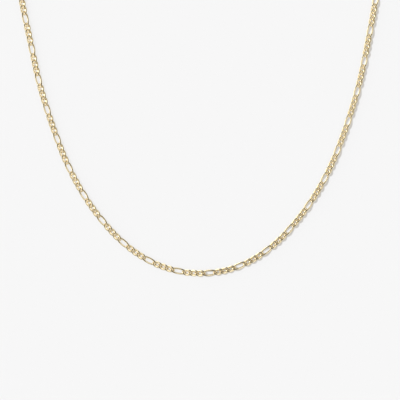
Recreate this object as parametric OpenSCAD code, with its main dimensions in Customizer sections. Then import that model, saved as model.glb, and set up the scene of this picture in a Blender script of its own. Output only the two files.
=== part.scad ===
/* [Necklace] */
// Length of the closed necklace along its middle, clasp included
necklace_len = 457; // [430:1:500]
// Short links between one long link and the next
short_run = 3; // [2:1:5]

/* [Links] */
// Width of every link across the chain
link_w = 2.42; // [2.4:0.02:2.6]
// Outer length of a short link
short_len = 3.8; // [3.76:0.02:4.1]
// Outer length of a long link
long_len = 5.88; // [5.4:0.02:7]
// Width of the flattened link wire in the plane of the link
wire_w = 0.66; // [0.58:0.01:0.68]
// Thickness of the flattened link wire
wire_t = 0.56; // [0.5:0.01:0.58]
// Thickness of the chain between its two pressed faces
chain_t = 1.2; // [1.1:0.02:1.3]
// How far the pressed link ends are spread outwards
end_spread = 0.14; // [0:0.02:0.2]
// Tilt of each link end about the chain, in degrees
end_tilt = 45; // [42:1:48]
// Play between the wires of two linked links
link_play = 0.12; // [0.12:0.01:0.2]

/* [Clasp] */
// Length of the clasp
clasp_len = 8.3; // [7.6:0.1:10]
// Width of the clasp at its wide end
clasp_w = 3.8; // [3.4:0.1:4.6]
// Width of the clasp at its tail
tail_w = 2.8; // [2.7:0.1:3.2]
// Thickness of the clasp
clasp_t = 0.7; // [0.5:0.05:0.75]
// Metal left around the two eyes of the clasp
eye_wall = 0.55; // [0.45:0.05:0.6]

/* [End rings] */
// Outer diameter of the two end rings
ring_d = 3; // [2.9:0.05:3.4]
// Thickness of the end ring wire
ring_wire = 0.5; // [0.4:0.02:0.54]
// Tilt of the end rings about the chain, in degrees
ring_tilt = 60; // [55:1:65]

/* [Hidden] */
$fn = 48;

// The route of the whole loop, from the clasp down the left strand and back up the right one
ROUTE = [
    [-9.3, 150.2],
    [-25, 149.2],
    [-43, 145],
    [-56.5, 137],
    [-64.8, 126],
    [-67.5, 113],
    [-65.6, 100],
    [-62.5, 85.2],
    [-59.1, 69.7],
    [-54, 53.4],
    [-48, 38.4],
    [-40, 24.7],
    [-30, 12.9],
    [-20, 5.4],
    [-10, 1.3],
    [0, 0],
    [10, 1.2],
    [20, 5.3],
    [30, 12.9],
    [40, 24.8],
    [48, 38.5],
    [54, 53.5],
    [59, 70],
    [62.2, 85.2],
    [64.9, 100],
    [66.6, 113.5],
    [64.2, 126.5],
    [56, 137.6],
    [43, 145],
    [25, 149.2],
    [6.7, 150.2]
];

// Quarter outline of a link, end to middle: share of half length, share of half width
OUTLINE = [[1, 0.42], [0.78, 0.88], [0, 1]];

// Sides of the link wire
WIRE_SIDES = 6;
// Steps of the smooth curve between two route points
ROUTE_STEPS = 12;
// Length over which the chain rises from the surface to the end rings
RISE_LEN = 9;
// Clear space between an end ring and what it holds
RING_PLAY = 0.16;

short_pitch = short_len - 2 * wire_w - link_play;
long_pitch = long_len - 2 * wire_w - link_play;

ring_r = ring_wire / 2;
ring_R = ring_d / 2 - ring_r;
ring_z = ring_R * sin(ring_tilt) + ring_r;

// How far from a ring's middle the wire and the clasp end that it holds may reach
ring_bore = ring_R - ring_r - RING_PLAY;
eye_reach = clasp_t / 2 / sin(ring_tilt);
clasp_end_at = sqrt(ring_bore * ring_bore - eye_reach * eye_reach) - eye_wall;
ring_x = clasp_len / 2 + clasp_end_at;
first_joint = ring_x + ring_bore + link_play / 2;

function unit(v) = v / norm(v);

// The closed route as a smooth curve
loop_count = len(ROUTE);

function loop_point(i) = ROUTE[(i + loop_count) % loop_count];

function smooth(p0, p1, p2, p3, t) =
    0.5 * (2 * p1 + (p2 - p0) * t + (2 * p0 - 5 * p1 + 4 * p2 - p3) * t * t
    + (3 * p1 - p0 - 3 * p2 + p3) * t * t * t);

function span(i, t) =
    smooth(loop_point(i - 1), loop_point(i), loop_point(i + 1), loop_point(i + 2), t);

// The curve starts in the middle of the clasp and runs down the left strand
curve = concat(
    [for (k = [0 : ROUTE_STEPS / 2 - 1]) span(loop_count - 1, 0.5 + k / ROUTE_STEPS)],
    [for (i = [0 : loop_count - 2], k = [0 : ROUTE_STEPS - 1]) span(i, k / ROUTE_STEPS)],
    [for (k = [0 : ROUTE_STEPS / 2]) span(loop_count - 1, k / ROUTE_STEPS)]
);

function step_before(i) = i < len(curve) ? norm(curve[i] - curve[i - 1]) : 0;

curve_sums = [for (i = 0, s = 0; i < len(curve); i = i + 1, s = s + step_before(i)) s];
route_scale = necklace_len / curve_sums[len(curve) - 1];
curve_x = [for (p = curve) p[0]];
curve_y = [for (p = curve) p[1]];

// Middle of the necklace's outer box, which the origin lies under
mid_x = (max(curve_x) + min(curve_x)) / 2;
mid_y = (max(curve_y) + clasp_w / 2 + min(curve_y) - link_w / 2) / 2;
table_x = [
    for (i = [0 : len(curve) - 1]) [curve_sums[i] * route_scale, (curve_x[i] - mid_x) * route_scale]
];
table_y = [
    for (i = [0 : len(curve) - 1]) [curve_sums[i] * route_scale, (curve_y[i] - mid_y) * route_scale]
];
clasp_x = table_x[0][1];
clasp_y = table_y[0][1];

// Half the thickness of the chain, measured on one short link
chain_z = max([for (p = link_points(short_len)) p[2]]);

// Height of the chain's middle at a distance along the route
function rise(s) =
    let (from_ring = min(s, necklace_len - s) - first_joint)
    let (share = max(0, 1 - from_ring / RISE_LEN))
    chain_z + (ring_z - chain_z) * share * share;

function at(s) = [lookup(s, table_x), lookup(s, table_y), rise(s)];

// How many links reach round, counted out from the middle one
function is_long(k) = (k % (short_run + 1) + short_run + 1) % (short_run + 1) == 1;
function pitch(k) = is_long(k) ? long_pitch : short_pitch;
function links_run(m, k, sum) = k > m ? sum : links_run(m, k + 1, sum + pitch(k));
function half_links(m) = links_run(m, -m, 0) >= chain_len ? m : half_links(m + 1);

chain_len = necklace_len - 2 * first_joint;
side_links = half_links(10);
pitch_scale = chain_len / links_run(side_links, -side_links, 0);
joints = [
    for (k = -side_links, s = first_joint; k <= side_links + 1; s = s + pitch(k) * pitch_scale, k = k + 1) s
];

// Points of one link round its own middle, ring by ring
function link_outline(a, b) =
    let (q = [for (p = OUTLINE) [p[0] * a, p[1] * b]])
    let (n = len(q))
    concat(
        q,
        [for (i = [n - 2 : -1 : 0]) [-q[i][0], q[i][1]]],
        [for (i = [0 : n - 1]) [-q[i][0], -q[i][1]]],
        [for (i = [n - 2 : -1 : 0]) [q[i][0], -q[i][1]]]
    );

function pressed(z) = max(-chain_t / 2, min(chain_t / 2, z));

function link_points(length) =
    let (a = (length - wire_w) / 2)
    let (line = link_outline(a, (link_w - wire_w) / 2))
    let (n = len(line))
    [
        for (i = [0 : n - 1])
            let (along = unit(line[(i + 1) % n] - line[(i + n - 1) % n]))
            let (out = [along[1], -along[0]])
            let (spread = end_spread * out[0] * out[0])
            for (j = [0 : WIRE_SIDES - 1])
                let (turn = 360 * j / WIRE_SIDES)
                let (reach = wire_w / 2 * cos(turn) + spread * max(0, cos(turn)))
                let (x = line[i][0] + reach * out[0])
                let (y = line[i][1] + reach * out[1])
                let (z = wire_t / 2 * sin(turn))
                let (tilt = end_tilt * max(-1, min(1, x / a)))
                [x, y * cos(tilt) - z * sin(tilt), pressed(y * sin(tilt) + z * cos(tilt))]
    ];

ring_count = 4 * (len(OUTLINE) - 1) + 2;
link_size = ring_count * WIRE_SIDES;

function link_faces(first) = [
    for (i = [0 : ring_count - 1], j = [0 : WIRE_SIDES - 1])
        let (a = first + i * WIRE_SIDES + j)
        let (b = first + i * WIRE_SIDES + (j + 1) % WIRE_SIDES)
        let (c = first + (i + 1) % ring_count * WIRE_SIDES + (j + 1) % WIRE_SIDES)
        let (d = first + (i + 1) % ring_count * WIRE_SIDES + j)
        for (face = [[a, c, b], [a, d, c]]) face
];

// One link laid between the two joints where it meets its neighbours
function laid_link(i) =
    let (k = i - side_links)
    let (from = at(joints[i]))
    let (to = at(joints[i + 1]))
    let (along = unit(to - from))
    let (side = unit(cross([0, 0, 1], along)))
    let (up = cross(along, side))
    [
        for (p = link_points(is_long(k) ? long_len : short_len))
            (from + to) / 2 + along * p[0] + side * p[1] + up * p[2]
    ];

module links(first, last) {
    polyhedron(
        points = [for (i = [first : last], p = laid_link(i)) p],
        faces = [for (i = [first : last], f = link_faces((i - first) * link_size)) f]
    );
}

// Left strand, from the clasp down to the lowest point
module chain_left() {
    color("#d9c68e")
        links(0, side_links - 1);
}

// Right strand, from the lowest point up to the clasp
module chain_right() {
    color("#dcc88f")
        links(side_links, 2 * side_links);
}

module end_ring(side) {
    translate([clasp_x + side * ring_x, clasp_y, ring_z])
        rotate([side * ring_tilt, 0, 0])
            rotate_extrude()
                translate([ring_R, 0])
                    circle(r = ring_r, $fn = 24);
}

module end_ring_left() {
    color("#cdb577")
        end_ring(-1);
}

module end_ring_right() {
    color("#cdb577")
        end_ring(1);
}

// A flat claw with an eye at each end
module clasp() {
    tail_x = -clasp_len / 2 + tail_w / 2;
    claw_x = clasp_len / 2 - clasp_w / 2;
    color("#c9b06f")
        translate([clasp_x, clasp_y, ring_z - clasp_t / 2])
            linear_extrude(clasp_t)
                difference() {
                    union() {
                        translate([tail_x, 0])
                            circle(d = tail_w);
                        translate([claw_x, 0])
                            circle(d = clasp_w);
                        polygon([
                            [tail_x, -tail_w / 2],
                            [claw_x, -clasp_w / 2],
                            [claw_x, clasp_w / 2],
                            [tail_x, tail_w / 2]
                        ]);
                    }
                    translate([tail_x, 0])
                        circle(d = tail_w - 2 * eye_wall);
                    translate([claw_x, 0])
                        circle(d = clasp_w - 2 * eye_wall);
                }
}

chain_left();
chain_right();
end_ring_left();
end_ring_right();
clasp();
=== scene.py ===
import math
import bpy
import numpy as np
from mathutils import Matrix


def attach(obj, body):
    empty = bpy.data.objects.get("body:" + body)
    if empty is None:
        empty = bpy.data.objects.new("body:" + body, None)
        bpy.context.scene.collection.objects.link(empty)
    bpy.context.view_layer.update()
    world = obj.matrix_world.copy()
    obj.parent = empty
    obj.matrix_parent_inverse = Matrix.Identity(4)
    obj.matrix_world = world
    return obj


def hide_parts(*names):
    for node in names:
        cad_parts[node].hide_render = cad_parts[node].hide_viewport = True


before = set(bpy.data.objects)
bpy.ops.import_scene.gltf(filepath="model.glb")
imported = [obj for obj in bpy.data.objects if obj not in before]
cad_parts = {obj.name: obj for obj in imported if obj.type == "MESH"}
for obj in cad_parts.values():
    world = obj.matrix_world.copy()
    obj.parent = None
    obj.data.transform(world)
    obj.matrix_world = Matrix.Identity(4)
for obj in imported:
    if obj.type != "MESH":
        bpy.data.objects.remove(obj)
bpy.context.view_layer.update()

MM = 0.001

# The same sizes as in the CAD, in millimetres
NECKLACE_LEN = 457
SHORT_RUN = 3
LINK_W = 2.42
SHORT_LEN = 3.8
LONG_LEN = 5.88
WIRE_W = 0.66
WIRE_T = 0.56
CHAIN_T = 1.2
END_SPREAD = 0.14
END_TILT = math.radians(45)
LINK_PLAY = 0.12
RING_D = 3.0
RING_WIRE = 0.5
RING_TILT = math.radians(60)
RING_PLAY = 0.16
RISE_LEN = 9
CLASP_LEN = 8.3
CLASP_W = 3.8
TAIL_W = 2.8
CLASP_T = 0.7
EYE_WALL = 0.55

# The route of the whole loop, the same points as in the CAD
ROUTE = [
    (-9.3, 150.2), (-25, 149.2), (-43, 145), (-56.5, 137), (-64.8, 126), (-67.5, 113),
    (-65.6, 100), (-62.5, 85.2), (-59.1, 69.7), (-54, 53.4), (-48, 38.4), (-40, 24.7),
    (-30, 12.9), (-20, 5.4), (-10, 1.3), (0, 0), (10, 1.2), (20, 5.3), (30, 12.9),
    (40, 24.8), (48, 38.5), (54, 53.5), (59, 70), (62.2, 85.2), (64.9, 100),
    (66.6, 113.5), (64.2, 126.5), (56, 137.6), (43, 145), (25, 149.2), (6.7, 150.2),
]
ROUTE_STEPS = 12

# How fine the rendered links are: sections round a link, sides round its wire
LINK_SECTIONS = 56
LINK_SIDES = 18
# Exponent of the superellipse that a link's outline follows, and samples of its quarter
OUTLINE_POWER = 3.2
OUTLINE_SAMPLES = 1500
# How softly the wire runs into the two pressed faces
PRESS_SOFT = 0.18
# How far a short link's pressed sides spread into its opening, and over what half length
SIDE_SPREAD = 0.32
SIDE_SPREAD_LEN = 0.8

# How fine the end rings are
RING_SECTIONS = 64
RING_SIDES = 20
# The clasp's rounded edge, and how fine its arcs and eyes are
CLASP_BEVEL = 0.25
CLASP_BEVEL_STEPS = 5
CLASP_ARC_STEPS = 40
EYE_STEPS = 64

# The photograph's frame: pixels across, its scale, and the route's origin in it, in pixels
PHOTO_PX = 400
MM_PER_PX = 0.37
PHOTO_ROUTE_X = 199.6
PHOTO_ROUTE_Y = 273.3
# The camera: focal length and sensor width in millimetres, and what it sees in metres
LENS = 100
SENSOR = 36
CLIP_START = 0.01
CLIP_END = 20

# What follows from the sizes, as in the CAD
CHAIN_Z = CHAIN_T / 2
SHORT_PITCH = SHORT_LEN - 2 * WIRE_W - LINK_PLAY
LONG_PITCH = LONG_LEN - 2 * WIRE_W - LINK_PLAY

RING_R = RING_WIRE / 2
RING_MAJOR = RING_D / 2 - RING_R
RING_Z = RING_MAJOR * math.sin(RING_TILT) + RING_R
RING_BORE = RING_MAJOR - RING_R - RING_PLAY
EYE_REACH = CLASP_T / 2 / math.sin(RING_TILT)
CLASP_END_AT = math.sqrt(RING_BORE ** 2 - EYE_REACH ** 2) - EYE_WALL
RING_X = CLASP_LEN / 2 + CLASP_END_AT
FIRST_JOINT = RING_X + RING_BORE + LINK_PLAY / 2


def unit(v):
    return v / np.linalg.norm(v)


# The route as a smooth closed curve

def smooth(p0, p1, p2, p3, t):
    return 0.5 * (2 * p1 + (p2 - p0) * t + (2 * p0 - 5 * p1 + 4 * p2 - p3) * t * t
                  + (3 * p1 - p0 - 3 * p2 + p3) * t ** 3)


class Route:
    """The chain's middle line, from the middle of the clasp down the left strand and round."""

    def __init__(self):
        pts = [np.array(p, float) for p in ROUTE]
        n = len(pts)
        last = n - 1
        half = ROUTE_STEPS // 2
        spans = [(last, 0.5 + k / ROUTE_STEPS) for k in range(half)]
        spans += [(i, k / ROUTE_STEPS) for i in range(last) for k in range(ROUTE_STEPS)]
        spans += [(last, k / ROUTE_STEPS) for k in range(half + 1)]
        curve = np.array([
            smooth(pts[i - 1], pts[i], pts[(i + 1) % n], pts[(i + 2) % n], t) for i, t in spans
        ])
        steps = np.linalg.norm(np.diff(curve, axis=0), axis=1)
        sums = np.concatenate([[0], np.cumsum(steps)])
        self.scale = NECKLACE_LEN / sums[-1]
        low, high = curve.min(0), curve.max(0)
        self.mid = np.array([
            (low[0] + high[0]) / 2,
            (high[1] + CLASP_W / 2 + low[1] - LINK_W / 2) / 2,
        ])
        self.s = sums * self.scale
        self.xy = (curve - self.mid) * self.scale

    def rise(self, s):
        from_ring = min(s, NECKLACE_LEN - s) - FIRST_JOINT
        share = max(0.0, 1 - from_ring / RISE_LEN)
        return CHAIN_Z + (RING_Z - CHAIN_Z) * share * share

    def at(self, s):
        x = np.interp(s, self.s, self.xy[:, 0])
        y = np.interp(s, self.s, self.xy[:, 1])
        return np.array([x, y, self.rise(s)])


# Which links are long, how many reach round on each side of the middle one, and where they meet

def is_long(k):
    return k % (SHORT_RUN + 1) == 1


def pitch(k):
    return LONG_PITCH if is_long(k) else SHORT_PITCH


def link_joints():
    chain_len = NECKLACE_LEN - 2 * FIRST_JOINT
    m = 0
    while sum(pitch(k) for k in range(-m, m + 1)) < chain_len:
        m += 1
    pitches = np.array([pitch(k) for k in range(-m, m + 1)])
    pitches *= chain_len / pitches.sum()
    return m, FIRST_JOINT + np.concatenate([[0], np.cumsum(pitches)])


# One link: a flattened wire along a superellipse, turned about the chain towards its ends

def link_outline(a, b):
    t = np.linspace(0, math.pi / 2, OUTLINE_SAMPLES)
    e = 2 / OUTLINE_POWER
    x, y = a * np.cos(t) ** e, b * np.sin(t) ** e
    x[-1] = 0.0
    run = np.concatenate([[0], np.cumsum(np.hypot(np.diff(x), np.diff(y)))])
    quarter = LINK_SECTIONS // 4
    s = np.linspace(0, run[-1], quarter + 1)
    qx, qy = np.interp(s, run, x), np.interp(s, run, y)
    px = np.concatenate([qx[:-1], -qx[:0:-1], -qx[:-1], qx[:0:-1]])
    py = np.concatenate([qy[:-1], qy[:0:-1], -qy[:-1], -qy[:0:-1]])
    return np.stack([px, py], 1)


def pressed(z):
    flat = CHAIN_T / 2 - PRESS_SOFT
    over = np.maximum(np.abs(z) - flat, 0)
    soft = PRESS_SOFT * (1 - np.exp(-over / PRESS_SOFT))
    return np.sign(z) * np.where(over > 0, flat + soft, np.abs(z))


def link_points(length, side_spread):
    a, r = (length - WIRE_W) / 2, WIRE_W / 2
    line = link_outline(a, (LINK_W - WIRE_W) / 2)
    along = np.roll(line, -1, 0) - np.roll(line, 1, 0)
    along /= np.linalg.norm(along, axis=1)[:, None]
    out = np.stack([along[:, 1], -along[:, 0]], 1)
    turn = np.arange(LINK_SIDES) * 2 * math.pi / LINK_SIDES
    inner = side_spread * np.clip(1 - (line[:, 0] / SIDE_SPREAD_LEN) ** 2, 0, 1) ** 2
    outer = END_SPREAD * out[:, 0] ** 2
    inward, outward = np.minimum(np.cos(turn), 0), np.maximum(np.cos(turn), 0)
    side = r * np.cos(turn)[None, :] + inner[:, None] * inward + outer[:, None] * outward
    x = line[:, 0, None] + side * out[:, 0, None]
    y = line[:, 1, None] + side * out[:, 1, None]
    z = np.broadcast_to(WIRE_T / 2 * np.sin(turn)[None, :], x.shape)
    tilt = END_TILT * np.clip(x / a, -1, 1)
    turned_y = y * np.cos(tilt) - z * np.sin(tilt)
    turned_z = y * np.sin(tilt) + z * np.cos(tilt)
    return np.stack([x, turned_y, pressed(turned_z)], 2).reshape(-1, 3)


def tube_faces(rings, sides):
    i, j = np.meshgrid(np.arange(rings), np.arange(sides), indexing="ij")
    a = i * sides + j
    b = i * sides + (j + 1) % sides
    c = (i + 1) % rings * sides + (j + 1) % sides
    d = (i + 1) % rings * sides + j
    return np.stack([a, d, c, b], 2).reshape(-1, 4)


def mesh_object(name, points, faces):
    mesh = bpy.data.meshes.new(name)
    mesh.from_pydata(points.tolist(), [], faces.tolist())
    mesh.update()
    mesh.shade_smooth()
    obj = bpy.data.objects.new(name, mesh)
    bpy.context.collection.objects.link(obj)
    return obj


def strand(name, route, joints, middle, first, last):
    shapes = {
        True: link_points(LONG_LEN, 0),
        False: link_points(SHORT_LEN, SIDE_SPREAD),
    }
    faces = tube_faces(LINK_SECTIONS, LINK_SIDES)
    points, quads = [], []
    for i in range(first, last + 1):
        start, end = route.at(joints[i]), route.at(joints[i + 1])
        along = unit(end - start)
        side = unit(np.cross([0, 0, 1], along))
        up = np.cross(along, side)
        local = shapes[is_long(i - middle)]
        placed = (start + end) / 2 + local @ np.stack([along, side, up])
        quads.append(faces + len(points) * LINK_SECTIONS * LINK_SIDES)
        points.append(placed * MM)
    return mesh_object(name, np.concatenate(points), np.concatenate(quads))


# The end rings and the clasp

def end_ring(name, route, side):
    u = np.arange(RING_SECTIONS) * 2 * math.pi / RING_SECTIONS
    v = np.arange(RING_SIDES) * 2 * math.pi / RING_SIDES
    r = RING_MAJOR + RING_R * np.cos(v)[None, :]
    x = r * np.cos(u)[:, None]
    y = r * np.sin(u)[:, None]
    z = np.broadcast_to(RING_R * np.sin(v)[None, :], x.shape)
    tilt = side * RING_TILT
    turned_y = y * math.cos(tilt) - z * math.sin(tilt)
    turned_z = y * math.sin(tilt) + z * math.cos(tilt)
    points = np.stack([x, turned_y, turned_z], 2).reshape(-1, 3)
    start = route.at(0)
    centre = np.array([start[0] + side * RING_X, start[1], RING_Z])
    return mesh_object(name, (points + centre) * MM, tube_faces(RING_SECTIONS, RING_SIDES))


def closed_line(curve, points):
    spline = curve.splines.new("POLY")
    spline.points.add(len(points) - 1)
    for place, (x, y) in zip(spline.points, points):
        place.co = (x, y, 0, 1)
    spline.use_cyclic_u = True


def eye_outline(x, r):
    """One eye's circle, clockwise, as the clasp's bevel needs for a hole."""
    turns = [-2 * math.pi * i / EYE_STEPS for i in range(EYE_STEPS)]
    return [(x + r * math.cos(a), r * math.sin(a)) for a in turns]


def clasp_outline(tail_x, claw_x, inset):
    """Hull of the tail's circle and the claw's circle, counterclockwise."""
    r0, r1 = TAIL_W / 2 - inset, CLASP_W / 2 - inset
    lean = math.asin((r1 - r0) / (claw_x - tail_x))
    top = math.pi / 2 + lean
    points = []
    for i in range(CLASP_ARC_STEPS + 1):
        a = -top + 2 * top * i / CLASP_ARC_STEPS
        points.append((claw_x + r1 * math.cos(a), r1 * math.sin(a)))
    for i in range(CLASP_ARC_STEPS + 1):
        a = top + (2 * math.pi - 2 * top) * i / CLASP_ARC_STEPS
        points.append((tail_x + r0 * math.cos(a), r0 * math.sin(a)))
    return points


def clasp(name, route):
    tail_x = -CLASP_LEN / 2 + TAIL_W / 2
    claw_x = CLASP_LEN / 2 - CLASP_W / 2
    curve = bpy.data.curves.new(name + "_outline", "CURVE")
    curve.dimensions = "2D"
    curve.fill_mode = "BOTH"
    closed_line(curve, clasp_outline(tail_x, claw_x, CLASP_BEVEL))
    closed_line(curve, eye_outline(tail_x, TAIL_W / 2 - EYE_WALL + CLASP_BEVEL))
    closed_line(curve, eye_outline(claw_x, CLASP_W / 2 - EYE_WALL + CLASP_BEVEL))
    curve.extrude = CLASP_T / 2 - CLASP_BEVEL
    curve.bevel_depth = CLASP_BEVEL
    curve.bevel_resolution = CLASP_BEVEL_STEPS
    holder = bpy.data.objects.new(name + "_outline", curve)
    bpy.context.collection.objects.link(holder)
    graph = bpy.context.evaluated_depsgraph_get()
    shape = bpy.data.meshes.new_from_object(holder.evaluated_get(graph))
    bpy.data.objects.remove(holder)
    bpy.data.curves.remove(curve)
    start = route.at(0)
    for vertex in shape.vertices:
        vertex.co.x = (vertex.co.x + start[0]) * MM
        vertex.co.y = (vertex.co.y + start[1]) * MM
        vertex.co.z = (vertex.co.z + RING_Z) * MM
    shape.name = name
    shape.materials.clear()
    obj = bpy.data.objects.new(name, shape)
    bpy.context.collection.objects.link(obj)
    return obj


# Materials: a metal whose colour, roughness and fine relief vary a little

CHAIN_GOLD = (0.875, 0.745, 0.49)
POLISHED = 0.11
SATIN = 0.36
# Noise in the colour: its scale and detail, where it turns, and how dark it gets
TONE_SCALE = 420
TONE_DETAIL = 2
TONE_TURNS = (0.35, 0.65)
TONE_DARK = 0.93
# Noise in the roughness and the relief: its scale and detail, the roughness's range, the relief
WEAR_SCALE = 1600
WEAR_DETAIL = 3
WEAR_RANGE = (0.75, 1.3)
BUMP_STRENGTH = 0.12
BUMP_DEPTH = 0.00002


def gold(name, colour, roughness):
    mat = bpy.data.materials.new(name)
    mat.use_nodes = True
    nodes, links = mat.node_tree.nodes, mat.node_tree.links
    shader = nodes["Principled BSDF"]
    shader.inputs["Metallic"].default_value = 1.0
    place = nodes.new("ShaderNodeTexCoord")
    tone = nodes.new("ShaderNodeTexNoise")
    tone.inputs["Scale"].default_value = TONE_SCALE
    tone.inputs["Detail"].default_value = TONE_DETAIL
    links.new(place.outputs["Object"], tone.inputs["Vector"])
    ramp = nodes.new("ShaderNodeValToRGB")
    dark, light = ramp.color_ramp.elements
    dark.position, light.position = TONE_TURNS
    dark.color = (*[c * TONE_DARK for c in colour], 1)
    light.color = (*colour, 1)
    links.new(tone.outputs["Fac"], ramp.inputs["Fac"])
    links.new(ramp.outputs["Color"], shader.inputs["Base Color"])
    wear = nodes.new("ShaderNodeTexNoise")
    wear.inputs["Scale"].default_value = WEAR_SCALE
    wear.inputs["Detail"].default_value = WEAR_DETAIL
    links.new(place.outputs["Object"], wear.inputs["Vector"])
    rough = nodes.new("ShaderNodeMapRange")
    rough.inputs["To Min"].default_value = roughness * WEAR_RANGE[0]
    rough.inputs["To Max"].default_value = roughness * WEAR_RANGE[1]
    links.new(wear.outputs["Fac"], rough.inputs["Value"])
    links.new(rough.outputs["Result"], shader.inputs["Roughness"])
    bump = nodes.new("ShaderNodeBump")
    bump.inputs["Strength"].default_value = BUMP_STRENGTH
    bump.inputs["Distance"].default_value = BUMP_DEPTH
    links.new(wear.outputs["Fac"], bump.inputs["Height"])
    links.new(bump.outputs["Normal"], shader.inputs["Normal"])
    return mat


def paint(obj, mat):
    obj.data.materials.clear()
    obj.data.materials.append(mat)


# The studio: a pale lit table, a key light from the left and soft panels round a dim room

# The table: its size, its surface, and the slightly warm light that it gives by itself
FLOOR_SIZE = 3.0
FLOOR_COLOUR = (0.12, 0.12, 0.12)
FLOOR_ROUGHNESS = 0.9
FLOOR_SPECULAR = 0.1
FLOOR_GLOW = 0.52
FLOOR_LIGHT = (1, 0.955, 0.886)
# The key light: azimuth and elevation that it comes from, width in degrees, colour, and power.
# The whole necklace shades its first share, and all but the left strand its second one, because
# the photo shows a clear shadow along the right strand alone. The metal doesn't reflect it.
KEY_FROM = (155, 47)
KEY_SIZE = 5
KEY_COLOUR = (0.84, 0.9, 1)
KEY_SHARES = (2.3, 11)
# The soft panels in the dim room: how narrow all are, then azimuth, elevation and strength of each
GLOW_POWER = 24
GLOWS = [
    (135, 13, 4.2), (180, 13, 3.2), (225, 13, 1.3), (90, 13, 0.8),
    (330, 40, 1.8), (30, 40, 1.4), (210, 40, 0.6), (270, 40, 0.6),
    (270, 65, 0.1), (0, 90, 0.1),
]


def floor():
    bpy.ops.mesh.primitive_plane_add(size=FLOOR_SIZE, location=(0, 0, 0))
    plane = bpy.context.object
    plane.name = "floor"
    mat = bpy.data.materials.new("floor_white")
    mat.use_nodes = True
    shader = mat.node_tree.nodes["Principled BSDF"]
    shader.inputs["Base Color"].default_value = (*FLOOR_COLOUR, 1)
    shader.inputs["Roughness"].default_value = FLOOR_ROUGHNESS
    shader.inputs["Specular IOR Level"].default_value = FLOOR_SPECULAR
    shader.inputs["Emission Color"].default_value = (*FLOOR_LIGHT, 1)
    shader.inputs["Emission Strength"].default_value = FLOOR_GLOW
    paint(plane, mat)


def toward(azimuth, elevation):
    a, e = math.radians(azimuth), math.radians(elevation)
    return (math.cos(e) * math.cos(a), math.cos(e) * math.sin(a), math.sin(e))


def key_light(name, power, shaded_by=()):
    light = bpy.data.lights.new(name, "SUN")
    light.energy = power
    light.color = KEY_COLOUR
    light.angle = math.radians(KEY_SIZE)
    obj = bpy.data.objects.new(name, light)
    bpy.context.collection.objects.link(obj)
    obj.visible_glossy = False
    if shaded_by:
        casters = bpy.data.collections.new(name + "_casters")
        for piece in shaded_by:
            casters.objects.link(piece)
        obj.light_linking.blocker_collection = casters
    x, y, z = toward(*KEY_FROM)
    obj.rotation_euler = (0, math.acos(z), math.atan2(y, x))


def room():
    world = bpy.data.worlds.new("room")
    bpy.context.scene.world = world
    world.use_nodes = True
    nodes, links = world.node_tree.nodes, world.node_tree.links
    back = nodes["Background"]
    place = nodes.new("ShaderNodeTexCoord")
    total = None
    for azimuth, elevation, strength in GLOWS:
        facing = nodes.new("ShaderNodeVectorMath")
        facing.operation = "DOT_PRODUCT"
        facing.inputs[1].default_value = toward(azimuth, elevation)
        links.new(place.outputs["Generated"], facing.inputs[0])
        share = nodes.new("ShaderNodeMapRange")
        share.inputs["From Min"].default_value = -1
        share.inputs["From Max"].default_value = 1
        links.new(facing.outputs["Value"], share.inputs["Value"])
        spot = nodes.new("ShaderNodeMath")
        spot.operation = "POWER"
        spot.inputs[1].default_value = GLOW_POWER
        links.new(share.outputs["Result"], spot.inputs[0])
        level = nodes.new("ShaderNodeMath")
        level.operation = "MULTIPLY_ADD"
        level.inputs[1].default_value = strength
        level.inputs[2].default_value = 0
        links.new(spot.outputs["Value"], level.inputs[0])
        if total is not None:
            links.new(total, level.inputs[2])
        total = level.outputs["Value"]
    links.new(total, back.inputs["Strength"])
    back.inputs["Color"].default_value = (1, 1, 1, 1)


# The camera looks straight down on the part of the necklace that the photograph shows

def camera(route):
    data = bpy.data.cameras.new("camera")
    data.lens = LENS
    data.sensor_width = SENSOR
    obj = bpy.data.objects.new("camera", data)
    bpy.context.collection.objects.link(obj)
    look = np.array([
        (PHOTO_PX / 2 - PHOTO_ROUTE_X) * MM_PER_PX,
        (PHOTO_ROUTE_Y - PHOTO_PX / 2) * MM_PER_PX,
    ])
    x, y = (look - route.mid) * route.scale * MM
    across = PHOTO_PX * MM_PER_PX * route.scale * MM
    obj.location = (x, y, across * LENS / SENSOR + CHAIN_Z * MM)
    data.clip_start = CLIP_START
    data.clip_end = CLIP_END
    bpy.context.scene.camera = obj


# The pieces, what each replaces in the CAD, and its slot

route = Route()
camera(route)
middle, joints = link_joints()
last_link = 2 * middle

golds = {
    "chain_gold": gold("polished_chain", CHAIN_GOLD, POLISHED),
    "ring_gold": gold("polished_rings", CHAIN_GOLD, POLISHED),
    "clasp_gold": gold("polished_clasp", CHAIN_GOLD, SATIN),
}
pieces = [
    (strand("links_left", route, joints, middle, 0, middle - 1), "chain_left", "chain_gold"),
    (strand("links_right", route, joints, middle, middle, last_link), "chain_right", "chain_gold"),
    (end_ring("ring_left", route, -1), "end_ring_left", "ring_gold"),
    (end_ring("ring_right", route, 1), "end_ring_right", "ring_gold"),
    (clasp("claw_clasp", route), "clasp", "clasp_gold"),
]
for piece, node, slot in pieces:
    paint(piece, golds[slot])
    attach(piece, "root")
    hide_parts(node)

floor()
key_light("key_all", KEY_SHARES[0])
key_light("key_right", KEY_SHARES[1], [row[0] for row in pieces if row[1] != "chain_left"])
room()
bpy.context.scene.view_settings.view_transform = "Standard"
